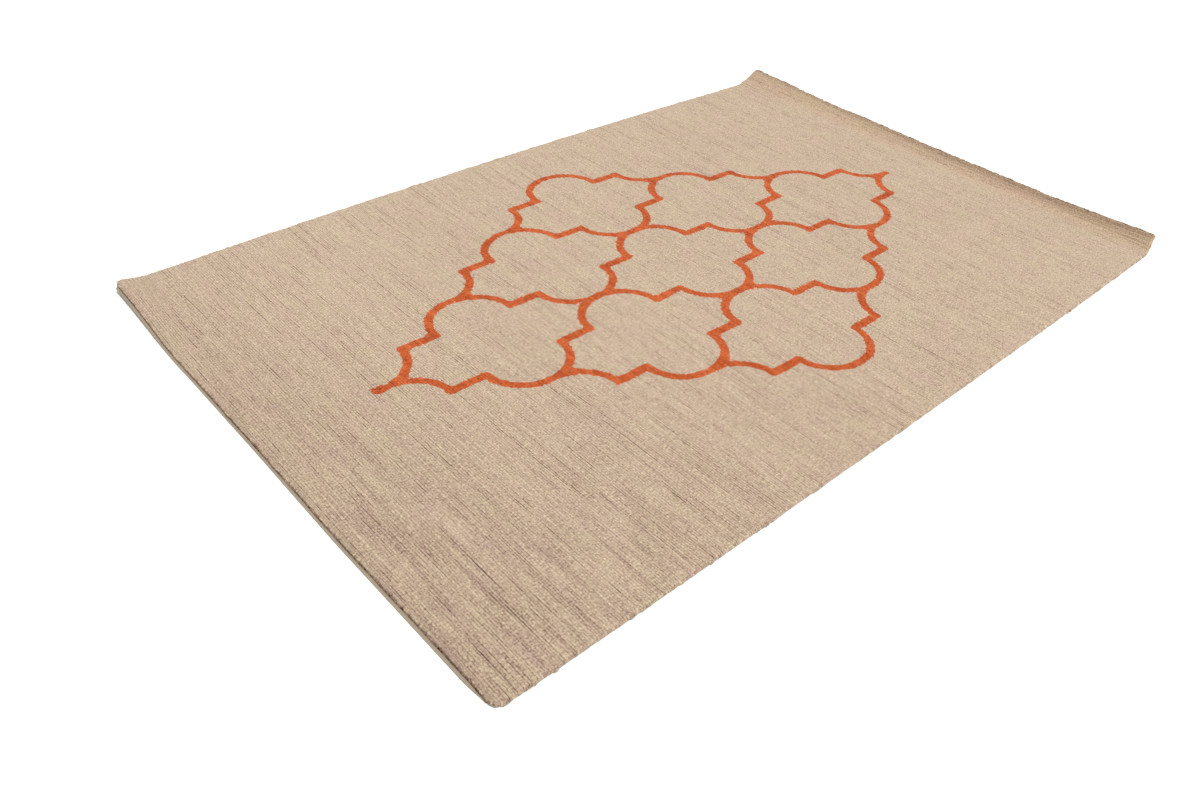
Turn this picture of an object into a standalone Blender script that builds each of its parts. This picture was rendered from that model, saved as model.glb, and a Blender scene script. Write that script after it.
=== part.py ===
"""A hand-tufted rug lying on a floor, as one closed solid.

The rug is a single thick sheet: wool tufts shot through a cloth, with a backing
glued on under them.  It was kept rolled up, so one short end still turns up in a
lip, a corner of the other end stands off the floor, and its long edges wander.

Frame: metres, +X along the length towards the turned-up end, +Y across the width,
+Z up.  The origin is the centre of the rug's footprint, on the floor.
"""

import math

import bmesh
import bpy
import numpy as np
from mathutils import Matrix, Vector

# The cut size of the rug, laid flat, and its build.
LENGTH = 2.438
WIDTH = 1.524
THICKNESS = 0.012
CORNER_RADIUS = 0.014
RIM_ROUNDING = 0.0035

# Edges that turn by more than this, in degrees, are rounded as rim, or shaded sharp.
RIM_ANGLE = 55.0
SHARP_ANGLE = 50.0

# How far each long edge stands outside a straight line: at the lifted end, halfway
# along, and at the turned-up end.
LEFT_EDGE_WANDER = (-0.016, 0.018, 0.018)
RIGHT_EDGE_WANDER = (0.011, 0.015, 0.002)

# How far the turned-up end reaches past a square cut: at its right corner, in its
# middle and at its left corner.
END_WANDER = (0.018, 0.000, 0.000)

# The left edge stands a little off the floor along its middle.
EDGE_LIFT = 0.005
EDGE_LIFT_REACH = 0.14

# The left corner of the lifted end: how high it stands, how far along each edge the
# lift reaches, and how much its end steps in from the end line.
CORNER_LIFT = 0.012
CORNER_REACH_ALONG = 0.10
CORNER_REACH_ACROSS = 0.42
CORNER_STEP_IN = 0.016

# The turned-up end, from the right edge to the left one.  It bends up on a radius
# to an angle, then runs on straight.
LIP_COLUMNS = ("across", "radius", "degrees", "straight")
LIP = (
    (-1.0, 0.030, 80.0, 0.027),
    (-0.6, 0.040, 62.0, 0.016),
    (0.0, 0.060, 50.0, 0.014),
    (0.6, 0.110, 44.0, 0.008),
    (1.0, 0.200, 40.0, 0.000),
)

# The lip's right corner leans in towards the middle of the rug.  The lean starts at
# this share of the half width.
LIP_LEAN_IN = 0.008
LIP_LEAN_START = 0.5

# The sheet's grid: how deep the finer zones at its ends and sides are, and how many
# steps the first zone, the middle and the last zone take.
END_ZONE = 0.16
LIP_ZONE = 0.15
GRID_ALONG = (5, 18, 18)
SIDE_ZONE = 0.10
GRID_ACROSS = (3, 10, 4)

PILE_COLOUR = (0.56, 0.43, 0.31, 1.0)


def smooth_step(share):
    """0 below 0, 1 above 1, and an S curve between them."""
    share = min(max(share, 0.0), 1.0)
    return share * share * (3.0 - 2.0 * share)


def wander(offsets, share):
    """The parabola through an edge's three offsets, for share -1 to 1 along that edge."""
    start, middle, end = offsets
    return middle + share * (end - start) / 2 + share**2 * ((start + end) / 2 - middle)


def lip_at(across):
    """The lip's radius, angle in radians and straight run, for across from -1 to 1."""
    rows = np.array(LIP).T
    table = {
        name: np.interp(across, rows[0], column)
        for name, column in zip(LIP_COLUMNS, rows)
    }
    return table["radius"], math.radians(table["degrees"]), table["straight"]


def along_lip(distance, across):
    """How far forward and how high the underside is, at a distance past the bend's start."""
    radius, angle, _ = lip_at(across)
    turned = min(distance / radius, angle)
    straight = max(distance - radius * angle, 0.0)
    forward = radius * math.sin(turned) + straight * math.cos(angle)
    height = radius * (1.0 - math.cos(turned)) + straight * math.sin(angle)
    return forward, height


def lip_length(across):
    """The length of cloth in the lip: its bend and its straight run."""
    radius, angle, straight = lip_at(across)
    return radius * angle + straight


def laid(point):
    """Where a point of the flat cut comes to lie: the underside's place."""
    along = point.x / (LENGTH / 2)
    across = point.y / (WIDTH / 2)

    edge = LEFT_EDGE_WANDER if across > 0 else RIGHT_EDGE_WANDER
    y = point.y + across * wander(edge, along)

    cut_x = point.x + max(along, 0.0) * wander(END_WANDER, across)
    bend_start = LENGTH / 2 + wander(END_WANDER, across) - lip_length(across)
    if cut_x > bend_start:
        forward, z = along_lip(cut_x - bend_start, across)
        x = bend_start + forward
        up_the_lip = (cut_x - bend_start) / lip_length(across)
        right_corner = smooth_step((-across - LIP_LEAN_START) / (1.0 - LIP_LEAN_START))
        y += LIP_LEAN_IN * up_the_lip * right_corner
    else:
        x, z = cut_x, 0.0

    from_left_edge = WIDTH / 2 - point.y
    from_end = LENGTH / 2 + point.x
    near_left_edge = smooth_step(1.0 - from_left_edge / EDGE_LIFT_REACH)
    z += EDGE_LIFT * (1.0 - along**2) * near_left_edge

    near_end = smooth_step(1.0 - from_end / CORNER_REACH_ALONG)
    near_corner = near_end * smooth_step(1.0 - from_left_edge / CORNER_REACH_ACROSS)
    z += CORNER_LIFT * near_corner
    x += CORNER_STEP_IN * near_corner
    return Vector((x, y, z))


def grid_lines(size, first_zone, last_zone, counts):
    """Line places from -size/2 to size/2, with a count of steps for each zone."""
    stops = (-size / 2, -size / 2 + first_zone, size / 2 - last_zone, size / 2)
    runs = [
        np.linspace(start, stop, count, endpoint=False)
        for start, stop, count in zip(stops, stops[1:], counts)
    ]
    return [float(value) for value in np.concatenate(runs)] + [size / 2]


def flat_sheet():
    """The flat cut as a grid, with its four corners rounded."""
    xs = grid_lines(LENGTH, END_ZONE, LIP_ZONE, GRID_ALONG)
    ys = grid_lines(WIDTH, SIDE_ZONE, EDGE_LIFT_REACH, GRID_ACROSS)
    sheet = bmesh.new()
    rows = [[sheet.verts.new((x, y, 0.0)) for x in xs] for y in ys]
    for lower, upper in zip(rows, rows[1:]):
        for i in range(len(xs) - 1):
            sheet.faces.new((lower[i], lower[i + 1], upper[i + 1], upper[i]))
    corners = [rows[0][0], rows[0][-1], rows[-1][0], rows[-1][-1]]
    bmesh.ops.bevel(
        sheet,
        geom=corners,
        offset=min(CORNER_RADIUS, xs[-1] - xs[-2] - RIM_ROUNDING),
        segments=3,
        profile=0.5,
        affect="VERTICES",
    )
    return sheet


def centre_footprint(rug):
    """Moves the mesh so that its box is centred on the origin; the underside stays at 0."""
    evaluated = rug.evaluated_get(bpy.context.evaluated_depsgraph_get())
    corners = np.array([corner[:] for corner in evaluated.bound_box])
    middle = (corners.min(axis=0) + corners.max(axis=0)) / 2
    rug.data.transform(Matrix.Translation((-middle[0], -middle[1], 0.0)))


def pile_material():
    """The rug's beige wool."""
    material = bpy.data.materials.new("rug_wool")
    material.use_nodes = True
    shader = material.node_tree.nodes["Principled BSDF"]
    shader.inputs["Base Color"].default_value = PILE_COLOUR
    shader.inputs["Roughness"].default_value = 0.9
    shader.inputs["Metallic"].default_value = 0.0
    return material


def make_rug():
    """The sheet laid in its shape, thickened upwards, with its rim rounded."""
    sheet = flat_sheet()
    for vertex in sheet.verts:
        vertex.co = laid(vertex.co)
    mesh = bpy.data.meshes.new("rug")
    sheet.to_mesh(mesh)
    sheet.free()
    rug = bpy.data.objects.new("rug", mesh)
    bpy.context.scene.collection.objects.link(rug)
    mesh.materials.append(pile_material())

    thick = rug.modifiers.new("thickness", "SOLIDIFY")
    thick.thickness = THICKNESS
    thick.offset = 1.0
    thick.use_even_offset = True

    rim = rug.modifiers.new("rim", "BEVEL")
    rim.width = RIM_ROUNDING
    rim.segments = 2
    rim.limit_method = "ANGLE"
    rim.angle_limit = math.radians(RIM_ANGLE)

    bpy.context.view_layer.update()
    centre_footprint(rug)
    mesh.shade_smooth()
    mesh.set_sharp_from_angle(angle=math.radians(SHARP_ANGLE))
    return rug


def clear_scene():
    """Removes what the startup file holds."""
    for thing in list(bpy.data.objects):
        bpy.data.objects.remove(thing, do_unlink=True)


clear_scene()
make_rug()
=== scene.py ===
"""A hand-tufted rug on a studio floor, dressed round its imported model.

The rug is a woven backing cloth that carries a cut wool pile, tufted in rows across
the width, with a trellis drawn in a second colour of wool.

Frame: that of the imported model, in metres.  +X runs along the rug towards its
turned-up end, +Y across it, +Z up.  The origin is the centre of its footprint.
"""

import math

import bpy
import numpy as np
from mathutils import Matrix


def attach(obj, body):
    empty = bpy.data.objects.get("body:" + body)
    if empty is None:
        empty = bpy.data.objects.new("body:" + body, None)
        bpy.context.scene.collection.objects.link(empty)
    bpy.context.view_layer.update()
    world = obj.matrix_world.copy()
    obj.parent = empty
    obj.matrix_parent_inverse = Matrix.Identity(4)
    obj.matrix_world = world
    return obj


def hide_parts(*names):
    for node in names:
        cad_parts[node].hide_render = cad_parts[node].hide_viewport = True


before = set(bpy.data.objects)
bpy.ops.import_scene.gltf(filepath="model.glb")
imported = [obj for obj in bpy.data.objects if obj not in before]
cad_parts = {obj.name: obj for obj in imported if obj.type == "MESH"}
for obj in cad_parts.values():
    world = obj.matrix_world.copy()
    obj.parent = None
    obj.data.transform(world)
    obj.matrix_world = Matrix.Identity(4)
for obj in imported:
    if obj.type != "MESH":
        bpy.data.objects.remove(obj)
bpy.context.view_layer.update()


# ---- The studio ----
# A plain pale floor, one large soft lamp high over the rug and a little to its right,
# and white walls all round that fill the shadows.

FLOOR_SIZE, FLOOR_DROP = 40.0, 0.0002
FLOOR_COLOUR = (0.88, 0.88, 0.88, 1.0)
CLOUDS_A_METRE, CLOUD_DETAIL, CLOUD_PALER = 1.5, 2.0, 1.01

# A finish is a roughness, a specular level and a sheen.
PAPER_FINISH = (0.9, 0.1, 0.0)
SHEEN_ROUGHNESS = 0.5

LAMP_FROM = (0.03, -0.40, 0.92)
LAMP_SPREAD = 14.0
LAMP_STRENGTH = 2.93
LAMP_COLOUR = (0.96, 1.0, 1.06)
WALL_COLOUR = (1.0, 0.955, 0.87, 1.0)
WALL_LIGHT = 0.69

CAMERA_PLACE = (-1.76896, -1.50054, 1.36362)
CAMERA_TURN = (51.3813, -3.7803, -42.1798)
CAMERA_LENS = 29.682
SENSOR_WIDTH = 36.0
CAMERA_CLIP = (0.05, 100.0)


def add_node(tree, kind, inputs=None, **settings):
    """A new shader node with its settings; each input gets a link or a plain value."""
    node = tree.nodes.new(kind)
    for name, value in settings.items():
        setattr(node, name, value)
    for key, value in (inputs or {}).items():
        if isinstance(value, bpy.types.NodeSocket):
            tree.links.new(value, node.inputs[key])
        else:
            node.inputs[key].default_value = value
    return node


def mix_colours(tree, factor, first, second, blend="MIX"):
    """A mix of two colours; each of the three inputs is a socket or a value."""
    node = add_node(
        tree,
        "ShaderNodeMix",
        {0: factor, 6: first, 7: second},
        data_type="RGBA",
        blend_type=blend,
    )
    return node.outputs[2]


def new_material(name, roughness, specular, sheen):
    """A node material and its shader, with the values that are the same all over."""
    material = bpy.data.materials.new(name)
    material.use_nodes = True
    shader = material.node_tree.nodes["Principled BSDF"]
    shader.inputs["Roughness"].default_value = roughness
    shader.inputs["Specular IOR Level"].default_value = specular
    shader.inputs["Sheen Weight"].default_value = sheen
    shader.inputs["Sheen Roughness"].default_value = SHEEN_ROUGHNESS
    return material, shader


def make_object(name, vertices, faces, material):
    """A mesh object at the origin, with its place in its vertices."""
    mesh = bpy.data.meshes.new(name)
    mesh.from_pydata(vertices, [], faces)
    mesh.materials.append(material)
    made = bpy.data.objects.new(name, mesh)
    bpy.context.scene.collection.objects.link(made)
    return made


def floor_material():
    """Matt paper: a faint cloudiness in an even pale colour."""
    material, shader = new_material("studio_paper", *PAPER_FINISH)
    tree = material.node_tree
    place = add_node(tree, "ShaderNodeTexCoord").outputs["Object"]
    cloud = add_node(
        tree,
        "ShaderNodeTexNoise",
        {"Vector": place, "Scale": CLOUDS_A_METRE, "Detail": CLOUD_DETAIL},
    )
    paler = tuple(value * CLOUD_PALER for value in FLOOR_COLOUR[:3]) + (1.0,)
    colour = mix_colours(tree, cloud.outputs["Fac"], FLOOR_COLOUR, paler)
    tree.links.new(colour, shader.inputs["Base Color"])
    return material


def make_studio():
    """The floor, the lamp, the white walls' light and the camera."""
    half = FLOOR_SIZE / 2
    corners = [(-half, -half), (half, -half), (half, half), (-half, half)]
    floor = make_object(
        "studio_floor",
        [(x, y, -FLOOR_DROP) for x, y in corners],
        [(0, 1, 2, 3)],
        floor_material(),
    )

    lamp = bpy.data.lights.new("studio_lamp", "SUN")
    lamp.energy = LAMP_STRENGTH
    lamp.angle = math.radians(LAMP_SPREAD)
    lamp.color = LAMP_COLOUR
    holder = bpy.data.objects.new("studio_lamp", lamp)
    across, up = math.hypot(LAMP_FROM[0], LAMP_FROM[1]), LAMP_FROM[2]
    holder.rotation_euler = (
        math.atan2(across, up),
        0.0,
        math.atan2(LAMP_FROM[1], LAMP_FROM[0]) + math.pi / 2,
    )
    bpy.context.scene.collection.objects.link(holder)

    world = bpy.data.worlds.new("studio_walls")
    world.use_nodes = True
    walls = world.node_tree.nodes["Background"]
    walls.inputs["Color"].default_value = WALL_COLOUR
    walls.inputs["Strength"].default_value = WALL_LIGHT
    bpy.context.scene.world = world

    camera = bpy.data.objects.new("camera", bpy.data.cameras.new("camera"))
    camera.data.lens = CAMERA_LENS
    camera.data.sensor_width = SENSOR_WIDTH
    camera.data.clip_start, camera.data.clip_end = CAMERA_CLIP
    camera.location = CAMERA_PLACE
    camera.rotation_euler = [math.radians(turn) for turn in CAMERA_TURN]
    bpy.context.scene.collection.objects.link(camera)
    bpy.context.scene.camera = camera
    bpy.context.scene.view_settings.view_transform = "Standard"
    return floor


studio_floor = make_studio()


# ---- The backing cloth ----
# A cotton cloth glued under the rug with latex, its edges turned in.  Every other
# piece lies on it, so how the whole rug lies is worked out here.

LENGTH, WIDTH, THICKNESS = 2.438, 1.524, 0.012
LEFT_CORNER_RADIUS, CORNER_RAMP = 0.014, 0.06
LIFTED_RIGHT_RADIUS, TURNED_UP_RIGHT_RADIUS = 0.020, 0.005
BOX_SHIFT = (0.0050, -0.0033)

# How far each edge stands outside a straight line: at its two ends and halfway along
# for the first three, and at the places listed for the lifted end.
LEFT_EDGE_WANDER = (-0.016, 0.018, 0.018)
RIGHT_EDGE_WANDER = (0.011, 0.015, 0.002)
END_WANDER = (0.010, 0.000, 0.000)
LIFTED_END_ACROSS = (-1.0, -0.8, -0.4, 0.0, 0.4, 0.84, 1.0)
LIFTED_END_WANDER = (0.000, -0.001, -0.003, 0.001, 0.0025, -0.002, -0.003)
LIFTED_END_REACH = 0.25

# How high the left edge and the lifted end's left corner stand, and how far that
# reaches.
EDGE_LIFT, EDGE_LIFT_REACH = 0.005, 0.14
CORNER_LIFT, CORNER_REACH_ALONG, CORNER_REACH_ACROSS = 0.012, 0.10, 0.42
CORNER_STEP_IN = 0.016

# The lip from the right edge to the left one: it bends up on a radius to an angle,
# then runs on straight.
LIP_ACROSS = (-1.0, -0.6, 0.0, 0.6, 1.0)
LIP_RADIUS = (0.036, 0.040, 0.060, 0.110, 0.200)
LIP_DEGREES = (61.0, 60.0, 50.0, 44.0, 40.0)
LIP_STRAIGHT = (0.036, 0.017, 0.014, 0.008, 0.000)
LIP_LEAN_IN, LIP_LEAN_START = 0.008, 0.5

BACKING_THICKNESS, BACKING_INSET = 0.0022, 0.003
# At the lifted end the cloth shows past the pile as a dark strip, put there as painted
# shade and contact shadow below the pile's edge.
BACKING_SHOWS_AS_SHADE, BACKING_SHOWS_FADE = (0.0015, 0.0058), 0.07
BACKING_GRID = (170, 100)
HEM_WIDTH, HEM_DEPTH, HEM_SLOPE = 0.028, 0.0006, 0.006
SHARP_DEGREES = 50.0
NORMAL_REACH = 0.001
NET_SIZE, NET_START = (509, 521), 1000.0

# The threads' two shades are darker than the cloth's own, as painted shade, so that the
# strip past the lifted end reads as shaded.
CANVAS_COLOURS_WITH_PAINTED_SHADE = ((0.26, 0.205, 0.145, 1.0), (0.37, 0.305, 0.225, 1.0))
CANVAS_FINISH = (0.92, 0.15, 0.1)
CANVAS_PITCH, THREAD_SHADE = 0.0024, 0.22
SLUBS_A_METRE, SLUB_DETAIL = 260.0, 3.0
CANVAS_BUMP, CANVAS_BUMP_HEIGHT = 0.6, 0.0006


def smooth_step(share):
    """0 below 0, 1 above 1, and an S curve between them."""
    share = np.clip(share, 0.0, 1.0)
    return share * share * (3.0 - 2.0 * share)


def wander(offsets, share):
    """The parabola through an edge's three offsets, for share -1 to 1 along that edge."""
    start, middle, end = offsets
    return middle + share * (end - start) / 2 + share**2 * ((start + end) / 2 - middle)


def underside(x, y):
    """Where points of the flat cut come to lie, on the underside.

    The long edges wander by parabolas and the lifted end by a gentle wave.  Near the
    far end the cloth goes round an arc and on along its tangent, so it keeps its
    length; one long edge and one corner stand off the floor by S curves.
    """
    along, across = x / (LENGTH / 2), y / (WIDTH / 2)
    radius = np.interp(across, LIP_ACROSS, LIP_RADIUS)
    angle = np.radians(np.interp(across, LIP_ACROSS, LIP_DEGREES))
    straight = np.interp(across, LIP_ACROSS, LIP_STRAIGHT)
    lip_length = radius * angle + straight

    left, right = wander(LEFT_EDGE_WANDER, along), wander(RIGHT_EDGE_WANDER, along)
    laid_y = y + across * np.where(across > 0.0, left, right)

    bend_start = LENGTH / 2 + wander(END_WANDER, across) - lip_length
    past = x + np.maximum(along, 0.0) * wander(END_WANDER, across) - bend_start
    turned = np.clip(past / radius, 0.0, angle)
    run = np.maximum(past - radius * angle, 0.0)
    laid_x = bend_start + np.minimum(past, 0.0)
    laid_x = laid_x + radius * np.sin(turned) + run * np.cos(angle)
    z = radius * (1.0 - np.cos(turned)) + run * np.sin(angle)

    up_the_lip = np.clip(past / lip_length, 0.0, 1.0)
    right_corner = smooth_step((-across - LIP_LEAN_START) / (1.0 - LIP_LEAN_START))
    laid_y = laid_y + LIP_LEAN_IN * up_the_lip * right_corner

    near_left_edge = smooth_step(1.0 - (WIDTH / 2 - y) / EDGE_LIFT_REACH)
    z = z + EDGE_LIFT * np.maximum(1.0 - along**2, 0.0) * near_left_edge
    near_corner = smooth_step(1.0 - (LENGTH / 2 + x) / CORNER_REACH_ALONG)
    near_corner *= smooth_step(1.0 - (WIDTH / 2 - y) / CORNER_REACH_ACROSS)
    z = z + CORNER_LIFT * near_corner
    laid_x = laid_x + CORNER_STEP_IN * near_corner
    wave = np.interp(across, LIFTED_END_ACROSS, LIFTED_END_WANDER)
    laid_x = laid_x + wave * smooth_step(1.0 - (LENGTH / 2 + x) / LIFTED_END_REACH)
    return np.stack([laid_x + BOX_SHIFT[0], laid_y + BOX_SHIFT[1], z], axis=-1)


def lay(x, y, height):
    """The underside's place plus height times its normal, from differences 2 mm apart."""
    on_x = underside(x + NORMAL_REACH, y) - underside(x - NORMAL_REACH, y)
    on_y = underside(x, y + NORMAL_REACH) - underside(x, y - NORMAL_REACH)
    normal = np.cross(on_x, on_y)
    normal /= np.linalg.norm(normal, axis=-1, keepdims=True)
    return underside(x, y) + normal * np.asarray(height)[..., None]


def round_corners(x, y, half_length, half_width):
    """Draws the y of points in to a quarter circle at the sheet's four corners.

    In the last radius of the length the half width falls off as a circle does, and
    the draw grows in a straight ramp over the outer 60 mm.
    """
    right = np.where(x > 0.0, TURNED_UP_RIGHT_RADIUS, LIFTED_RIGHT_RADIUS)
    radius = np.where(y < 0.0, right, LEFT_CORNER_RADIUS)
    into = np.clip((np.abs(x) - (half_length - radius)) / radius, 0.0, 1.0)
    narrower = radius * (1.0 - np.sqrt(1.0 - into**2))
    ramp = np.clip((np.abs(y) - (half_width - CORNER_RAMP)) / CORNER_RAMP, 0.0, 1.0)
    return y - np.sign(y) * narrower * ramp


def uneven(x, y, size_x, size_y, seed):
    """Smooth unevenness from -1 to 1.

    Random values stand on a net of size_x by size_y, and S curves join them.
    """
    net = np.random.default_rng(seed).uniform(-1.0, 1.0, NET_SIZE)
    place_x, place_y = x / size_x + NET_START, y / size_y + NET_START
    i, j = np.floor(place_x).astype(int), np.floor(place_y).astype(int)
    s, t = smooth_step(place_x - i), smooth_step(place_y - j)
    i0, i1 = i % NET_SIZE[0], (i + 1) % NET_SIZE[0]
    j0, j1 = j % NET_SIZE[1], (j + 1) % NET_SIZE[1]
    low = net[i0, j0] * (1.0 - t) + net[i0, j1] * t
    high = net[i1, j0] * (1.0 - t) + net[i1, j1] * t
    return low * (1.0 - s) + high * s


def grid_faces(first, rows, columns, flip=False):
    """Quads of a grid whose points run row by row from index first."""
    corner = first + np.arange(rows - 1)[:, None] * columns + np.arange(columns - 1)
    quads = [corner, corner + columns, corner + columns + 1, corner + 1]
    return np.stack(quads[::-1] if flip else quads, axis=-1).reshape(-1, 4)


def rim_ring(rows, columns):
    """Indices of a grid's outer points, once round, anticlockwise seen from above."""
    index = np.arange(rows * columns).reshape(rows, columns)
    return np.concatenate(
        [index[:-1, 0], index[-1, :-1], index[:0:-1, -1], index[0, :0:-1]]
    )


def new_group(name, inputs, outputs):
    """An empty node group with a vector Place, numbers as inputs and numbers out."""
    group = bpy.data.node_groups.new(name, "ShaderNodeTree")
    group.interface.new_socket("Place", in_out="INPUT", socket_type="NodeSocketVector")
    for way, names in (("INPUT", inputs), ("OUTPUT", outputs)):
        for socket in names:
            group.interface.new_socket(socket, in_out=way, socket_type="NodeSocketFloat")
    return group


def calculate(tree, operation, *values):
    """One step of arithmetic on sockets or numbers; gives the socket of its result."""
    values = dict(enumerate(values))
    return add_node(tree, "ShaderNodeMath", values, operation=operation).outputs[0]


def canvas_weave():
    """The node group of a plain weave: its threads' height and their shade.

    Two sine waves at right angles make the threads, and a checker of their signs
    says which of the two lies on top.
    """
    group = new_group("canvas_weave", ["Pitch"], ["Height", "Shade"])
    given = add_node(group, "NodeGroupInput")
    place = given.outputs["Place"]
    turns = calculate(group, "DIVIDE", math.pi, given.outputs["Pitch"])
    scaled = add_node(
        group, "ShaderNodeVectorMath", {"Vector": place, "Scale": turns}, operation="SCALE"
    )
    parts = add_node(group, "ShaderNodeSeparateXYZ", {0: scaled.outputs["Vector"]})
    waves = [calculate(group, "SINE", parts.outputs[axis]) for axis in "XY"]
    over = calculate(group, "MULTIPLY", *waves)
    slub = add_node(
        group,
        "ShaderNodeTexNoise",
        {"Vector": place, "Scale": SLUBS_A_METRE, "Detail": SLUB_DETAIL},
    )
    shade = calculate(group, "MULTIPLY_ADD", over, THREAD_SHADE, slub.outputs["Fac"])
    out = add_node(group, "NodeGroupOutput")
    group.links.new(calculate(group, "ABSOLUTE", over), out.inputs["Height"])
    group.links.new(shade, out.inputs["Shade"])
    return group


def canvas_material():
    """Unbleached cotton canvas: two shades of thread, both darkened as painted shade, with
    the weave as a bump.
    """
    material, shader = new_material("cotton_canvas", *CANVAS_FINISH)
    tree = material.node_tree
    place = add_node(tree, "ShaderNodeTexCoord")
    weave = add_node(tree, "ShaderNodeGroup")
    weave.node_tree = canvas_weave()
    tree.links.new(place.outputs["Object"], weave.inputs["Place"])
    weave.inputs["Pitch"].default_value = CANVAS_PITCH
    colour = mix_colours(tree, weave.outputs["Shade"], *CANVAS_COLOURS_WITH_PAINTED_SHADE)
    bump = add_node(
        tree,
        "ShaderNodeBump",
        {
            "Strength": CANVAS_BUMP,
            "Distance": CANVAS_BUMP_HEIGHT,
            "Height": weave.outputs["Height"],
        },
    )
    tree.links.new(colour, shader.inputs["Base Color"])
    tree.links.new(bump.outputs["Normal"], shader.inputs["Normal"])
    return material


def make_backing():
    """The cloth as two grids a thickness apart, joined round the rim.

    The lower face drops by the hem's depth in a band along the edges.  At the lifted
    end the cloth's fold shows past the pile, less so at its right corner: a dark strip
    that stands in for the painted shade and contact shadow along that edge.
    """
    rows, columns = BACKING_GRID
    half_width = WIDTH / 2 - BACKING_INSET
    y = np.linspace(-half_width, half_width, columns) * np.ones((rows, 1))
    shows = np.interp(y + half_width, (0.0, BACKING_SHOWS_FADE), BACKING_SHOWS_AS_SHADE)
    along = np.linspace(-1.0, 1.0, rows)[:, None] * np.ones(columns)
    half_length = LENGTH / 2 + np.where(along < 0.0, shows, -BACKING_INSET)
    x = along * half_length
    y = round_corners(x, y, half_length, half_width)
    from_edge = np.minimum(half_length - np.abs(x), half_width - np.abs(y))
    hem = smooth_step((from_edge - HEM_WIDTH) / HEM_SLOPE)
    lower = lay(x, y, HEM_DEPTH * hem)
    upper = lay(x, y, np.full(x.shape, BACKING_THICKNESS))
    count = rows * columns
    ring = rim_ring(rows, columns)
    nxt = np.roll(ring, -1)
    wall = np.stack([ring, nxt, nxt + count, ring + count], axis=-1)
    faces = np.concatenate(
        [grid_faces(0, rows, columns, flip=True), grid_faces(count, rows, columns), wall]
    )
    vertices = np.concatenate([lower.reshape(-1, 3), upper.reshape(-1, 3)])
    backing = make_object(
        "rug_backing", vertices.tolist(), faces.tolist(), canvas_material()
    )
    backing.data.shade_smooth()
    backing.data.set_sharp_from_angle(angle=math.radians(SHARP_DEGREES))
    return backing


rug_backing = make_backing()
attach(rug_backing, "root")
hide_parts("rug")


# ---- The pile ----
# Cut wool tufts shot through the cloth in rows across the rug.  Yarn of mixed dye
# lots gives the ground its patches and streaks; the trellis is the same pile in a
# second colour, flush with the ground.  The valleys between rows, the pile's side
# and its base are darkened with painted shade.

ROWS = 420
ROW_PITCH = LENGTH / ROWS
ACROSS_LINES = 105
PILE_BASE = 0.0018
RIM_ROUNDING, RIM_ZONE = 0.0042, 0.006
RIM_LINES = (0.0, 0.0014, 0.0032)

# The lines, of two to a row, that cross the base: close at both ends, wide between.
BASE_LINES = np.concatenate(
    [np.arange(0, 36, 6), np.arange(36, 780, 62), np.arange(780, 841, 4)]
)

# Rings down the side: how far down, how far it stands out, its painted shade, and its
# share of the cut back at the lifted end.
SIDE_RINGS = (
    (0.35, 0.0012, 0.10, 0.35),
    (0.72, 0.0008, 0.15, 0.80),
    (1.00, -0.0012, 0.30, 1.00),
)
CUT_BACK, CUT_BACK_MORE, CUT_BACK_REACH = 0.0026, 0.0020, 0.012
CUT_BACK_IN_CORNER = 0.2
FACING_SLOPE, FACING_START = 2.0, 0.6
# Painted shade added down the side at the lifted end, and on the base.
LIFTED_END_PAINTED_SHADE, BASE_PAINTED_SHADE = 0.5, 0.5

# A shape is the size of an unevenness along, in metres or in lines, its size across,
# and its seed.
VALLEY_DEPTH, VALLEY_ALTERNATE, STREAK_DEPTH = 0.0006, 0.0003, 0.0011
STREAK_SHAPES = ((0.65, (0.61, 0.22, 21)), (0.45, (0.83, 0.06, 22)))
STREAK_START, STREAK_FULL = 0.10, 0.7
# Painted shade in the valleys, more where they open into streaks, fading out at the ends.
VALLEY_PAINTED_SHADE, STREAK_PAINTED_SHADE, END_FADE = 0.33, 0.67, 0.004
ROW_UNEVEN, ROW_SHAPE = 0.00028, (0.73, 0.018, 23)
BROAD_UNEVEN, BROAD_SHAPE = 0.0004, (0.11, 0.16, 24)
ROW_DRIFT, DRIFT_SHAPE, DRIFT_FADE = 0.0011, (3.1, 0.11, 25), 0.03
SIDE_KNOBS, KNOB_SHAPE, KNOB_CHANGE = 0.0006, (1.7, 1.0, 26), 9.0

TRELLIS_CENTRE = (0.0238, 0.0093)
TRELLIS_HALF_PITCH = (0.3113, 0.1943)
TRELLIS_LOBE = (0.1094, 0.0968)
TRELLIS_ASKEW = (0.0078, 0.0073)
TRELLIS_WIDTH, STEP_WIDER, TAIL_WIDER = 0.0216, 0.0013, 0.002
TRELLIS_TAILS, TAIL_OVERLAP = (0.031, 0.005), 0.01
TRELLIS_CELLS = [
    (i, j)
    for i in range(-2, 3)
    for j in range(-2, 3)
    if (i + j) % 2 == 0 and abs(i) + abs(j) <= 2
]
HAND_DRIFT, HAND_SHAPES = 0.0022, ((0.09, 0.07, 11), (0.09, 0.07, 12))
FAR_FROM_TRELLIS = 0.05
RAGGED_REACH, TRELLIS_SOFTNESS = 0.010, 0.0007

GROUND_COLOUR = (0.4555, 0.3515, 0.2552, 1.0)
TINT_MAUVE, TINT_STRAW = (0.995, 0.945, 1.015, 1.0), (1.0, 1.045, 0.97, 1.0)
ORANGE_DARK, ORANGE_PALE = (0.375, 0.057, 0.0085, 1.0), (0.500, 0.107, 0.0275, 1.0)
# A warm tint over the turned-up lip, as painted shade: its shaded face is lit warm.
LIP_WARM_SHADE_TINT = (1.02, 0.970, 0.925, 1.0)
TONE_BY_CHANNEL = (0.90, 1.03, 1.04)
WOOL_FINISH = (0.95, 0.12, 0.10)
TUFT_BUMP, TUFT_BUMP_HEIGHT = 0.8, 0.0012

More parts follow.
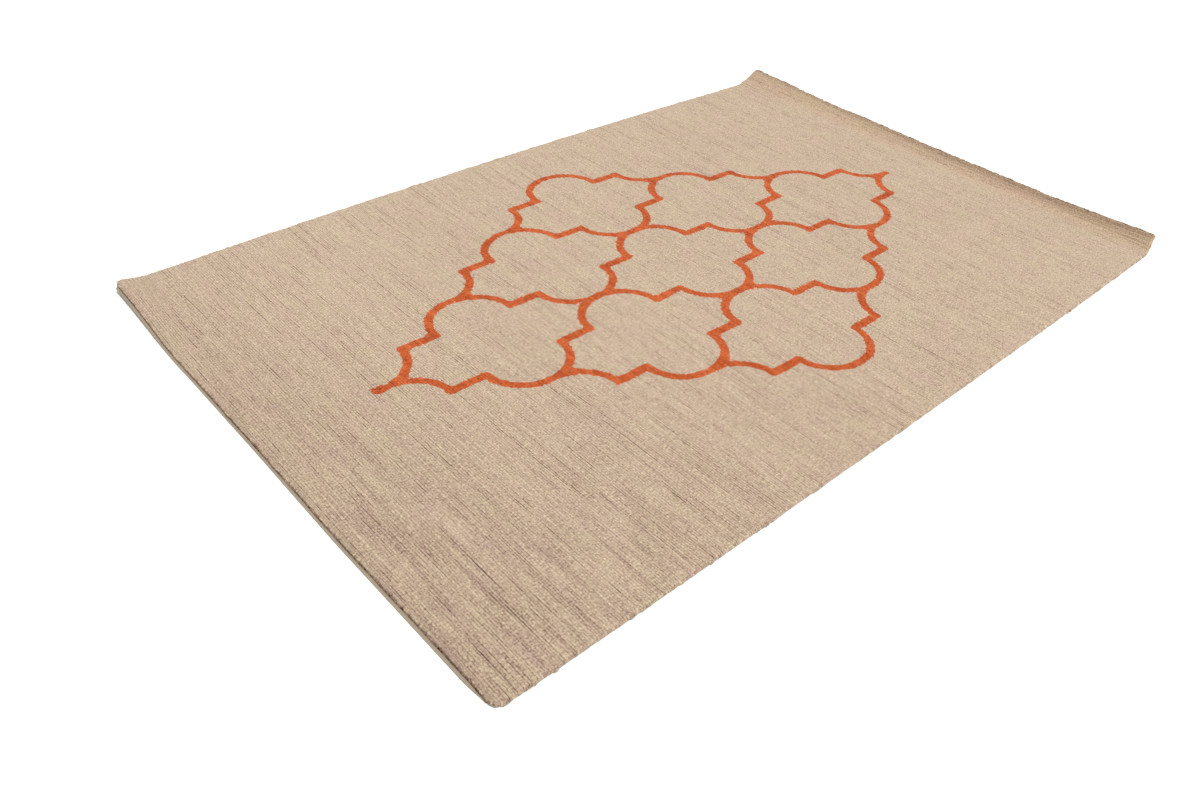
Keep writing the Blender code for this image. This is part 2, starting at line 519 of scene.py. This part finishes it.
# A noise is its turns a metre along, or its turns a row, its turns a metre across, its
# detail and its roughness.  A tone is how much it lightens the yarn.
PATCH_NOISE, PATCH_TONE = (6.0, 1.6, 2.0), 0.18
STREAK_NOISE, STREAK_TONE = (50.0, 4.0, 2.0), 0.50
YARN_NOISE, YARN_TONE = (62.0, 8.0, 1.0), 0.32
DARK_YARN_NOISE, DARK_YARN_TONE = (6.37, 9.0, 5.0, 0.7), 0.55
DARK_YARN_RISE = (0.08, 0.30, 0.22)
ROW_NOISE, ROW_TONE = (24.0, 6.0, 1.0), 0.20
DASH_NOISE, DASH_TONE = (60.0, 42.0, 1.0), 0.26
TUFT_NOISE, TUFT_TONE, TUFT_RELIEF = (7.13, 300.0, 1.0), 0.68, 0.8
GRAIN_NOISE, GRAIN_TONE, GRAIN_RELIEF = (300.0, 220.0, 2.0, 0.75), 1.26, 1.0
FIBRE_NOISE, FIBRE_TONE, FIBRE_RELIEF = (900.0, 700.0, 2.0), 0.25, 0.4
TINT_NOISE, RAGGED_NOISE = (14.0, 7.0, 3.0, 0.75), (9.17, 160.0, 1.0)
# Painted shade in the crevices between rows: its half width in rows, how dark it is, its
# bump, and noise that breaks the lines.
CREVICE_HALF_WIDTH, CREVICE_PAINTED_SHADE, CREVICE_RELIEF = 0.25, -1.25, -0.5
CREVICE_BREAKS = (((4.31, 22.0, 3.0, 0.7), 2.2), ((3.37, 130.0, 2.0, 0.7), 1.2))
BREAKS_MEAN, BREAKS_MOST = 0.60, 0.95

# How the colour changes with the yarn, and from place to place on the rug; a reach is
# in metres.
TINT_CONTRAST, TINT_BY_STREAK, TINT_BY_TUFT = 1.6, 1.2, 1.0
ORANGE_BY_STREAK, ORANGE_BY_TUFT = 3.0, 2.0
# Painted pile sheen: the streaks' contrast falls from the lifted end's right corner to this
# share far from it.
SHEEN_FAR_SHARE, SHEEN_FALL_POWER = 0.20, 2.0
DARK_CORNER, DARK_CORNER_REACH = 0.11, 1.9
DARK_END, DARK_END_REACH = 0.075, 0.35
# Painted shade along the turned-up end's rim, where the bent pile opens.
LIP_RIM_PAINTED_SHADE, LIP_RIM_SHADE_REACH = 0.26, 0.018
LIP_FROM_END = (0.105, 0.045)
# Painted light on the steep right corner of the lip, which the lamp leaves too dark.
LIP_CORNER_PAINTED_LIGHT, LIP_LIGHT_ACROSS = 0.13, (-0.25, -0.68)
LIP_LIGHT_FROM_END, LIP_LIGHT_REACH = 0.031, (0.019, 0.006)


def ellipse_distance(x, y, radius_x, radius_y):
    """Distance to an ellipse to first order: its equation over its slope."""
    value = (x / radius_x) ** 2 + (y / radius_y) ** 2 - 1.0
    slope = 2.0 * np.hypot(x / radius_x**2, y / radius_y**2)
    return np.abs(value) / np.maximum(slope, 1e-6)


def cell_distance(x, y):
    """Distance from one trellis cell's outline, centred on the cell.

    Folded into a quarter, the outline is a quarter ellipse down from the top lobe, a
    nearly level step that is a little wider, and a quarter ellipse out to the side
    point.  Corners are square.
    """
    half_x, half_y = TRELLIS_HALF_PITCH
    lobe_x, lobe_y = TRELLIS_LOBE
    x, y = np.abs(x), np.abs(y)
    above = y - (half_y - lobe_y)
    top = np.where(
        above >= 0.0,
        ellipse_distance(x, above, lobe_x, lobe_y),
        np.maximum(np.abs(x - lobe_x), -above),
    )
    inside = x - (half_x - lobe_x)
    side = np.where(
        y <= lobe_y,
        ellipse_distance(np.minimum(x - half_x, 0.0), y - lobe_y, lobe_x, lobe_y),
        np.maximum(np.abs(inside), y - lobe_y),
    )
    side = np.where(x > half_x, np.hypot(x - half_x, y), side)
    step_x, step_y = half_x - 2.0 * lobe_x, 2.0 * lobe_y - half_y
    along = ((x - lobe_x) * step_x + above * step_y) / (step_x**2 + step_y**2)
    along = np.clip(along, 0.0, 1.0)
    step = np.hypot(x - lobe_x - along * step_x, above - along * step_y) - STEP_WIDER
    return np.minimum(np.minimum(top, side), step)


def trellis_distance(places):
    """Distance from the nearest line of the trellis: the least over its nine cells.

    The net is a little askew, its lines drift as drawn by hand, and a short tail
    runs on from each end point.
    """
    x, y = places[..., 0], places[..., 1]
    drift_x, drift_y = (HAND_DRIFT * uneven(x, y, *shape) for shape in HAND_SHAPES)
    x, y = x + drift_x, y + drift_y
    net_x = x + TRELLIS_ASKEW[0] * y - TRELLIS_CENTRE[0]
    net_y = y + TRELLIS_ASKEW[1] * x - TRELLIS_CENTRE[1]
    half_x, half_y = TRELLIS_HALF_PITCH
    nearest = np.full(x.shape, 1.0)
    for i, j in TRELLIS_CELLS:
        nearest = np.minimum(nearest, cell_distance(net_x - i * half_x, net_y - j * half_y))
    for side, tail in zip((-1.0, 1.0), TRELLIS_TAILS):
        past = side * net_x - 3.0 * half_x
        to_end = np.abs(past - tail / 2) - tail / 2 + TRELLIS_WIDTH / 2
        in_tail = np.maximum(np.abs(net_y) - TAIL_WIDER, to_end)
        with_tail = np.minimum(nearest, in_tail)
        nearest = np.where(past > -TAIL_OVERLAP, with_tail, nearest)
    return np.minimum(nearest, FAR_FROM_TRELLIS)


def row_relief(x, y, line):
    """Height of the pile's top, and how much painted shade its valleys get, from 0 to 1.

    line counts half rows: even lines are the valleys between two rows and odd ones
    their crests.  Some valleys open into long deeper streaks.
    """
    valley = line % 2 == 0
    streak = sum(share * uneven(line, y, *shape) for share, shape in STREAK_SHAPES)
    streak = np.clip(streak - STREAK_START, 0.0, STREAK_FULL) / STREAK_FULL
    streak[1::2] = (streak[:-1:2] + streak[2::2]) / 2
    alternate = np.where(line % 4 == 0, 1.0, -1.0)
    depth = VALLEY_DEPTH + VALLEY_ALTERNATE * alternate + STREAK_DEPTH * streak
    crest = ROW_UNEVEN * uneven(line, y, *ROW_SHAPE)
    broad = BROAD_UNEVEN * uneven(x, y, *BROAD_SHAPE)
    from_end, from_side = LENGTH / 2 - np.abs(x), WIDTH / 2 - np.abs(y)
    edge = np.clip(1.0 - np.minimum(from_end, from_side) / RIM_ROUNDING, 0.0, 1.0)
    rounding = RIM_ROUNDING * (1.0 - np.sqrt(1.0 - edge**2))
    height = THICKNESS + broad + np.where(valley, -depth, crest) - rounding
    # How much painted shade the valleys get here.
    deep = (VALLEY_PAINTED_SHADE + STREAK_PAINTED_SHADE * streak) * smooth_step(from_end / END_FADE)
    return height, deep


def set_attribute(mesh, name, kind, values):
    """Stores one value or one vector a point on the mesh."""
    attribute = mesh.attributes.new(name, kind, "POINT")
    key = "vector" if kind == "FLOAT_VECTOR" else "value"
    attribute.data.foreach_set(key, np.asarray(values, np.float32).ravel())


def pile_grid():
    """The pile's top on the flat cut: two lines to each row, by lines that run along."""
    rims = np.array(RIM_LINES)
    side = WIDTH / 2 - RIM_ZONE
    inner = np.linspace(-side, side, ACROSS_LINES - 2 * len(rims))
    across = np.concatenate([-WIDTH / 2 + rims, inner, (WIDTH / 2 - rims)[::-1]])
    line = np.arange(2 * ROWS + 1)[:, None] * np.ones(len(across))
    x = line * ROW_PITCH / 2 - LENGTH / 2
    y = round_corners(x, across * np.ones_like(x), LENGTH / 2, WIDTH / 2)
    return line, x, y


def outward(ring_x, ring_y):
    """Unit directions out of a ring: its tangent, from its neighbours, turned right."""
    tangent_x = np.roll(ring_x, -1) - np.roll(ring_x, 1)
    tangent_y = np.roll(ring_y, -1) - np.roll(ring_y, 1)
    size = np.hypot(tangent_x, tangent_y)
    return tangent_y / size, -tangent_x / size


def base_faces(rows, columns, ring, last_ring, first_inner):
    """Faces that close the pile below, looking down.

    Level lines cross the base at BASE_LINES.  Between two of them the quads run from
    side to side, and the outer two faces take in every rim point on their side.
    """
    on_rim = np.full(rows * columns, -1)
    on_rim[ring] = last_ring + np.arange(len(ring))
    on_rim = on_rim.reshape(rows, columns)
    index = on_rim[BASE_LINES]
    shape = (len(BASE_LINES) - 2, columns - 2)
    index[1:-1, 1:-1] = first_inner + np.arange(shape[0] * shape[1]).reshape(shape)
    corners = [index[:-1, 2:-1], index[1:, 2:-1], index[1:, 1:-2], index[:-1, 1:-2]]
    faces = np.stack(corners, axis=-1).reshape(-1, 4).tolist()
    for k, (start, stop) in enumerate(zip(BASE_LINES, BASE_LINES[1:])):
        right, left = on_rim[start : stop + 1, 0], on_rim[start : stop + 1, -1]
        faces.append([index[k, 1], index[k + 1, 1], *right[::-1]])
        faces.append([*left, index[k + 1, -2], index[k, -2]])
    return [[int(corner) for corner in face] for face in faces]


def cut_back(y):
    """How far the top of the lifted end is cut back.

    It grows towards the right corner, and falls to a fifth in the corner itself.
    """
    full = CUT_BACK + CUT_BACK_MORE * smooth_step(-y / (WIDTH / 2))
    from_corner = smooth_step((y + WIDTH / 2) / BACKING_SHOWS_FADE)
    return full * (CUT_BACK_IN_CORNER + (1.0 - CUT_BACK_IN_CORNER) * from_corner)


def make_pile(material):
    """The pile as one closed mesh: its top, rings down its side, and its base.

    The side swells outwards as cut tufts do at an edge, then tucks in under; at the
    lifted end it is cut back on a slope.  Every point keeps its place on the cloth,
    so that colours follow the yarn.
    """
    line, x, y = pile_grid()
    rows, columns = x.shape
    height, valley = row_relief(x, y, line)
    drift = ROW_DRIFT * uneven(line, y, *DRIFT_SHAPE)
    x = x + drift * smooth_step((LENGTH / 2 - np.abs(x)) / DRIFT_FADE)
    ring = rim_ring(rows, columns)
    count = np.arange(len(ring))
    ring_x, ring_y = x.ravel()[ring], y.ravel()[ring]
    ring_row, ring_height = line.ravel()[ring] / 2, height.ravel()[ring]
    out_x, out_y = outward(ring_x, ring_y)
    places = [np.stack([x, y, line / 2], axis=-1).reshape(-1, 3)]
    x = x + cut_back(y) * smooth_step(1.0 - (x + LENGTH / 2) / CUT_BACK_REACH)
    ring_x = x.ravel()[ring]
    at_lifted_end = smooth_step(-FACING_SLOPE * out_x - FACING_START)
    cut = [np.stack([x, y, height], axis=-1).reshape(-1, 3)]
    valleys = [valley.ravel()]
    for drop, swell, shade, share in SIDE_RINGS:
        knobs = uneven(count, KNOB_CHANGE * drop + 0.0 * count, *KNOB_SHAPE)
        stand = swell + SIDE_KNOBS * knobs + cut_back(ring_y) * share * at_lifted_end
        below = (ring_height - PILE_BASE) * drop
        stands = [ring_x + out_x * stand, ring_y + out_y * stand, ring_height - below]
        place = [ring_x + out_x * below, ring_y + out_y * below, ring_row]
        cut.append(np.stack(stands, axis=-1))
        places.append(np.stack(place, axis=-1))
        # The side's rings get painted shade, most at the lifted end, which faces away from
        # the lamp.
        valleys.append(shade + LIFTED_END_PAINTED_SHADE * at_lifted_end)
    inner = np.ix_(BASE_LINES[1:-1], np.arange(1, columns - 1))
    base = np.stack([x[inner], y[inner], np.full(x[inner].shape, PILE_BASE)], axis=-1)
    cut.append(base.reshape(-1, 3))
    places.append(base.reshape(-1, 3))
    valleys.append(np.full(x[inner].size, BASE_PAINTED_SHADE))

    vertices = lay(*np.concatenate(cut).T)
    faces = grid_faces(0, rows, columns).tolist()
    first, upper = rows * columns, ring
    for k in range(len(SIDE_RINGS)):
        lower = first + k * len(ring) + count
        quads = [lower, np.roll(lower, -1), np.roll(upper, -1), upper]
        faces += np.stack(quads, axis=-1).tolist()
        upper = lower
    faces += base_faces(rows, columns, ring, int(upper[0]), int(upper[-1]) + 1)

    pile = make_object("rug_pile", vertices.tolist(), faces, material)
    trellis = np.full(len(vertices), FAR_FROM_TRELLIS)
    trellis[: rows * columns] = trellis_distance(vertices[: rows * columns])
    set_attribute(pile.data, "place", "FLOAT_VECTOR", np.concatenate(places))
    set_attribute(pile.data, "valley", "FLOAT", np.concatenate(valleys))
    set_attribute(pile.data, "trellis", "FLOAT", trellis)
    pile.data.shade_smooth()
    return pile


def stretched_noise(tree, x, y, turns_x, turns_y, detail, roughness=0.5):
    """A noise over two sockets, each with its own frequency, centred on 0."""
    place = add_node(
        tree,
        "ShaderNodeCombineXYZ",
        {
            "X": calculate(tree, "MULTIPLY", x, turns_x),
            "Y": calculate(tree, "MULTIPLY", y, turns_y),
        },
    )
    noise = add_node(
        tree,
        "ShaderNodeTexNoise",
        {
            "Vector": place.outputs[0],
            "Scale": 1.0,
            "Detail": detail,
            "Roughness": roughness,
        },
        noise_dimensions="2D",
    )
    return calculate(tree, "SUBTRACT", noise.outputs["Fac"], 0.5)


def weighted_sum(tree, start, terms):
    """start plus each socket times its weight."""
    total = start
    for socket, weight in terms:
        total = calculate(tree, "MULTIPLY_ADD", socket, weight, total)
    return total


def rise(tree, value, start, stop, most=1.0, kind="SMOOTHSTEP"):
    """0 up to start and most past stop, joined by an S curve or a straight line."""
    node = add_node(
        tree,
        "ShaderNodeMapRange",
        {"Value": value, "From Min": start, "From Max": stop, "To Max": most},
        interpolation_type=kind,
    )
    return node.outputs["Result"]


def tufted_wool():
    """The node group of yarn tufted in rows, from a place on the cloth.

    Place holds the distances along and across in metres and the row's number, and
    Valley how much painted shade the valleys get there.  Streaks and Tone say how much
    lighter the yarn is than the mean, over rows and tuft by tuft, and Tone also holds
    the painted shade of the crevices between rows; Tint is a slow change of dye, and
    Tufts the height of tufts and fibres.  Ragged says how far each tuft strays over the
    edge of a figure.
    """
    outputs = ["Streaks", "Tone", "Tint", "Tufts", "Ragged"]
    group = new_group("tufted_wool", ["Valley"], outputs)
    given = add_node(group, "NodeGroupInput")
    parts = add_node(group, "ShaderNodeSeparateXYZ", {0: given.outputs["Place"]})
    along, across, count = (parts.outputs[axis] for axis in "XYZ")
    row = calculate(group, "FLOOR", count)
    nearest = calculate(group, "ROUND", count)

    def noise(kind, by=along):
        """One of the noises above, by the distance along or by the row."""
        return stretched_noise(group, by, across, *kind)

    # Painted shade in a narrow line along each valley, broken up by noise.
    from_valley = calculate(group, "PINGPONG", count, 0.5)
    crevice_shade = rise(group, from_valley, CREVICE_HALF_WIDTH, 0.0)
    breaks = [(noise(kind, nearest), share) for kind, share in CREVICE_BREAKS]
    breaks = weighted_sum(group, BREAKS_MEAN, breaks)
    breaks = add_node(group, "ShaderNodeClamp", {"Value": breaks, "Max": BREAKS_MOST})
    crevice_shade = calculate(group, "MULTIPLY", crevice_shade, given.outputs["Valley"])
    crevice_shade = calculate(group, "MULTIPLY", crevice_shade, breaks.outputs[0])

    odd = calculate(group, "PINGPONG", row, 1.0)
    turn = weighted_sum(group, -1.0, [(odd, 2.0)])
    rows_by_turns, dashes_by_turns = (
        calculate(group, "MULTIPLY", noise(kind), turn) for kind in (ROW_NOISE, DASH_NOISE)
    )
    tufts, grain, fibres = noise(TUFT_NOISE, row), noise(GRAIN_NOISE), noise(FIBRE_NOISE)
    dark_yarn = rise(group, noise(DARK_YARN_NOISE, row), *DARK_YARN_RISE, "LINEAR")
    streaks = [
        (noise(PATCH_NOISE), PATCH_TONE),
        (noise(STREAK_NOISE), STREAK_TONE),
        (noise(YARN_NOISE), YARN_TONE),
        (dark_yarn, -DARK_YARN_TONE),
    ]
    tone = [
        (rows_by_turns, ROW_TONE),
        (dashes_by_turns, DASH_TONE),
        (tufts, TUFT_TONE),
        (grain, GRAIN_TONE),
        (fibres, FIBRE_TONE),
        (crevice_shade, CREVICE_PAINTED_SHADE),
    ]
    relief = [
        (tufts, TUFT_RELIEF),
        (grain, GRAIN_RELIEF),
        (fibres, FIBRE_RELIEF),
        (crevice_shade, CREVICE_RELIEF),
    ]
    made = [
        weighted_sum(group, 0.0, streaks),
        weighted_sum(group, 0.0, tone),
        noise(TINT_NOISE),
        weighted_sum(group, 0.0, relief),
        noise(RAGGED_NOISE, row),
    ]
    out = add_node(group, "NodeGroupOutput")
    for name, socket in zip(outputs, made):
        group.links.new(socket, out.inputs[name])
    return group


def wool_material():
    """Wool pile: the ground's colour, the trellis over it, and valleys darkened with
    painted shade.

    Colour is the ground's, tinted by Tint, with the second colour of wool where the
    trellis is near, all times one plus Tone and Streaks.  The dyeing is darkest at the
    lifted end's right corner, and the streaks are strongest there as painted pile sheen.
    The turned-up lip gets a warm tint and a dark rim as painted shade, and its right
    corner a paler patch as painted light.
    """
    material, shader = new_material("wool_pile", *WOOL_FINISH)
    tree = material.node_tree
    place, valley, trellis = (
        add_node(tree, "ShaderNodeAttribute", attribute_name=name)
        for name in ("place", "valley", "trellis")
    )
    wool = add_node(tree, "ShaderNodeGroup")
    wool.node_tree = tufted_wool()
    tree.links.new(place.outputs["Vector"], wool.inputs["Place"])
    tree.links.new(valley.outputs["Fac"], wool.inputs["Valley"])
    ragged = wool.outputs["Ragged"]

    parts = add_node(tree, "ShaderNodeSeparateXYZ", {0: place.outputs["Vector"]})
    along, across = parts.outputs["X"], parts.outputs["Y"]
    from_corner = weighted_sum(tree, (LENGTH + WIDTH) / 2, [(along, 1.0), (across, 1.0)])
    near_corner = rise(tree, from_corner, DARK_CORNER_REACH, 0.0)
    # Painted pile sheen: streak contrast falls away from that corner.
    contrast = calculate(tree, "POWER", near_corner, SHEEN_FALL_POWER)
    contrast = weighted_sum(tree, SHEEN_FAR_SHARE, [(contrast, 1.0 - SHEEN_FAR_SHARE)])
    streaks = calculate(tree, "MULTIPLY", wool.outputs["Streaks"], contrast)
    half = LENGTH / 2
    # Painted shade along the rim of the turned-up end.
    rim = rise(tree, along, half - LIP_RIM_SHADE_REACH, half, -LIP_RIM_PAINTED_SHADE, "LINEAR")
    end = rise(tree, along, DARK_END_REACH - half, -half, -DARK_END, "LINEAR")
    on_lip = rise(tree, along, half - LIP_FROM_END[0], half - LIP_FROM_END[1])
    # Painted light on the lip's right corner, near its fold.
    from_fold = weighted_sum(tree, LIP_LIGHT_FROM_END - half, [(along, 1.0)])
    from_fold = calculate(tree, "ABSOLUTE", from_fold)
    lit_across, lit_along = (
        rise(tree, value, *reach)
        for value, reach in ((across, LIP_LIGHT_ACROSS), (from_fold, LIP_LIGHT_REACH))
    )
    tone = [
        (calculate(tree, "MULTIPLY", lit_across, lit_along), LIP_CORNER_PAINTED_LIGHT),
        (streaks, 1.0),
        (near_corner, -DARK_CORNER),
        (rim, 1.0),
        (end, 1.0),
    ]
    tone = weighted_sum(tree, wool.outputs["Tone"], tone)

    tint = [
        (wool.outputs["Tint"], TINT_CONTRAST),
        (streaks, TINT_BY_STREAK),
        (ragged, TINT_BY_TUFT),
    ]
    tint = mix_colours(tree, weighted_sum(tree, 0.5, tint), TINT_MAUVE, TINT_STRAW)
    ground = mix_colours(tree, 1.0, GROUND_COLOUR, tint, "MULTIPLY")
    # Painted warm shade on the turned-up lip.
    ground = mix_colours(tree, on_lip, ground, LIP_WARM_SHADE_TINT, "MULTIPLY")
    orange = [(wool.outputs["Streaks"], ORANGE_BY_STREAK), (ragged, ORANGE_BY_TUFT)]
    orange = mix_colours(tree, weighted_sum(tree, 0.5, orange), ORANGE_DARK, ORANGE_PALE)
    reach = [(ragged, RAGGED_REACH), (trellis.outputs["Fac"], -1.0)]
    reach = weighted_sum(tree, TRELLIS_WIDTH / 2, reach)
    in_trellis = rise(tree, reach, -TRELLIS_SOFTNESS, TRELLIS_SOFTNESS, kind="LINEAR")
    colour = mix_colours(tree, in_trellis, ground, orange)
    shades = [weighted_sum(tree, 1.0, [(tone, weight)]) for weight in TONE_BY_CHANNEL]
    shades = dict(zip(("Red", "Green", "Blue"), shades))
    shade = add_node(tree, "ShaderNodeCombineColor", shades)
    colour = mix_colours(tree, 1.0, colour, shade.outputs[0], "MULTIPLY")
    bump = {
        "Strength": TUFT_BUMP,
        "Distance": TUFT_BUMP_HEIGHT,
        "Height": wool.outputs["Tufts"],
    }
    bump = add_node(tree, "ShaderNodeBump", bump)
    tree.links.new(colour, shader.inputs["Base Color"])
    tree.links.new(bump.outputs["Normal"], shader.inputs["Normal"])
    return material


wool = wool_material()
rug_pile = make_pile(wool)
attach(rug_pile, "root")
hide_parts("rug")


# ---- The rim's tufts ----
# The outermost tufts have no neighbour to hold them in, so each stands as a short
# thick bundle of its own leaning out over the edge.  They are the same cut wool,
# held in the same cloth.

TUFT_SPACING, TUFT_SIDES, TUFT_RADIUS, TUFT_TOP = 0.0041, 6, 0.0027, 0.0105
TUFT_HEIGHTS = np.array([0.0, 0.12, 0.48, 0.82, 1.0, 1.04])
TUFT_GIRTH = np.array([0.0, 0.72, 1.0, 0.92, 0.5, 0.0])
TUFT_INSET, TUFT_LEAN, LEAN_AT_LIFTED_END = 0.0016, 0.0014, 0.0012

# Tufts stray in clumps, in a slow sway and by chance, and less where they are held in.
TUFT_STRAY, STRAY_HELD_IN = (0.0032, 0.0036, 0.0018), 0.35
CLUMP_SHAPE, SWAY_SHAPE, CHANCE_SEED = (2.7, 1.0, 42), (8.0, 1.0, 43), 41
RADIUS_VARIES, TOP_VARIES, TOP_BY_CLUMP = 0.22, 0.07, 0.05
PLACE_VARIES, TURN_VARIES = 0.0009, 0.5
FACES_OUT = 0.7

# How a tuft's colour climbs from the valley's painted shade to the crest, and how much
# painted shade darkens its foot.
CREST, CREST_CLIMB = 0.5, 1.6
FOOT_PAINTED_SHADE, FOOT_TOP, TUFT_PAINTED_SHADE = 0.78, 1.05, 0.15


def rim_path(spacing):
    """Places, row numbers and outward directions at even steps round the flat cut."""
    line, x, y = pile_grid()
    ring = rim_ring(*x.shape)
    x, y, row = (values.ravel()[ring] for values in (x, y, line / 2))
    out_x, out_y = outward(x, y)
    step = np.hypot(np.roll(x, -1) - x, np.roll(y, -1) - y)
    far = np.concatenate([[0.0], np.cumsum(step)])
    at = np.arange(0.0, far[-1] - spacing / 2, spacing)
    closed = [np.append(values, values[0]) for values in (x, y, row, out_x, out_y)]
    return [np.interp(at, far, values) for values in closed]


def make_rim_tufts(material):
    """Every tuft a closed bundle: rings of six points round a leaning centre line.

    Its girth swells towards the middle and closes at both ends in a point.  Height,
    girth, lean and place vary from tuft to tuft.
    """
    x, y, row, out_x, out_y = rim_path(TUFT_SPACING)
    chance = np.random.default_rng(CHANCE_SEED).uniform(-1.0, 1.0, (5, len(x)))
    count = np.arange(len(x)) * 1.0
    shapes = (CLUMP_SHAPE, SWAY_SHAPE)
    clump, sway = (uneven(count, 0.0 * count, *shape) for shape in shapes)
    loose = np.where(out_y < -FACES_OUT, 1.0, STRAY_HELD_IN)
    at_lifted_end = out_x < -FACES_OUT
    stray = TUFT_STRAY[0] * clump + TUFT_STRAY[1] * sway + TUFT_STRAY[2] * chance[0]
    lean = TUFT_LEAN + loose * stray
    lean = lean + np.where(at_lifted_end, LEAN_AT_LIFTED_END, 0.0)
    radius = TUFT_RADIUS * (1.0 + RADIUS_VARIES * chance[1])
    top = TUFT_TOP * (1.0 + TOP_VARIES * chance[2] + TOP_BY_CLUMP * clump)
    inset = TUFT_INSET + np.where(at_lifted_end, cut_back(y), 0.0)
    x = x - out_x * inset - out_y * PLACE_VARIES * chance[3]
    y = y - out_y * inset + out_x * PLACE_VARIES * chance[3]

    turn = np.arange(TUFT_SIDES) * 2.0 * math.pi / TUFT_SIDES
    turn = turn + TURN_VARIES * chance[4][:, None, None]
    reach = radius[:, None, None] * TUFT_GIRTH[:, None]
    shift = lean[:, None] * TUFT_HEIGHTS
    ring_x = (x[:, None] + out_x[:, None] * shift)[..., None] + reach * np.cos(turn)
    ring_y = (y[:, None] + out_y[:, None] * shift)[..., None] + reach * np.sin(turn)
    height = PILE_BASE + (top - PILE_BASE)[:, None, None] * TUFT_HEIGHTS[:, None]
    height = height + np.zeros_like(ring_x)

    levels = len(TUFT_HEIGHTS)
    keep = np.ones((levels, TUFT_SIDES), bool)
    keep[0, 1:] = keep[-1, 1:] = False
    keep = keep.ravel()
    flat = [values.reshape(len(x), -1)[:, keep] for values in (ring_x, ring_y, height)]
    each = flat[0].shape[1]
    spot_x, spot_y = (np.repeat(v[:, None], each, axis=1) for v in (x, y))
    # Tufts at the lifted end keep the valley's painted shade and get more at the foot; the
    # others get a little.
    at_lifted_end = at_lifted_end[:, None, None]
    climb = CREST * np.clip(TUFT_HEIGHTS * CREST_CLIMB, 0.0, 1.0)
    crest = np.where(at_lifted_end, 0.0, climb[:, None])
    crest = np.floor(row)[:, None, None] + crest + np.zeros_like(ring_x)
    crest = crest.reshape(len(x), -1)[:, keep]
    foot = FOOT_PAINTED_SHADE * np.clip(FOOT_TOP - TUFT_HEIGHTS, 0.0, 1.0)[:, None]
    shade = np.where(at_lifted_end, foot, TUFT_PAINTED_SHADE) + np.zeros_like(ring_x)
    shade = shade.reshape(len(x), -1)[:, keep]

    index = np.cumsum(keep).reshape(levels, TUFT_SIDES) - 1
    index[0], index[-1] = 0, each - 1
    nxt = np.roll(index, -1, axis=1)
    bottom = np.stack([index[0], nxt[1], index[1]], axis=-1)
    cap = np.stack([index[-2], nxt[-2], index[-1]], axis=-1)
    walls = np.stack([index[1:-2], nxt[1:-2], nxt[2:-1], index[2:-1]], axis=-1)
    walls = walls.reshape(-1, 4)
    starts = np.arange(len(x))[:, None, None] * each
    faces = (bottom + starts).reshape(-1, 3).tolist()
    faces += (cap + starts).reshape(-1, 3).tolist()
    faces += (walls + starts).reshape(-1, 4).tolist()

    vertices = lay(*[values.ravel() for values in flat])
    tufts = make_object("rug_rim_tufts", vertices.tolist(), faces, material)
    places = np.stack([spot_x.ravel(), spot_y.ravel(), crest.ravel()], axis=-1)
    set_attribute(tufts.data, "place", "FLOAT_VECTOR", places)
    set_attribute(tufts.data, "valley", "FLOAT", shade)
    set_attribute(tufts.data, "trellis", "FLOAT", np.full(len(vertices), FAR_FROM_TRELLIS))
    tufts.data.shade_smooth()
    return tufts


rug_rim_tufts = make_rim_tufts(wool)
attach(rug_rim_tufts, "root")
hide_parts("rug")
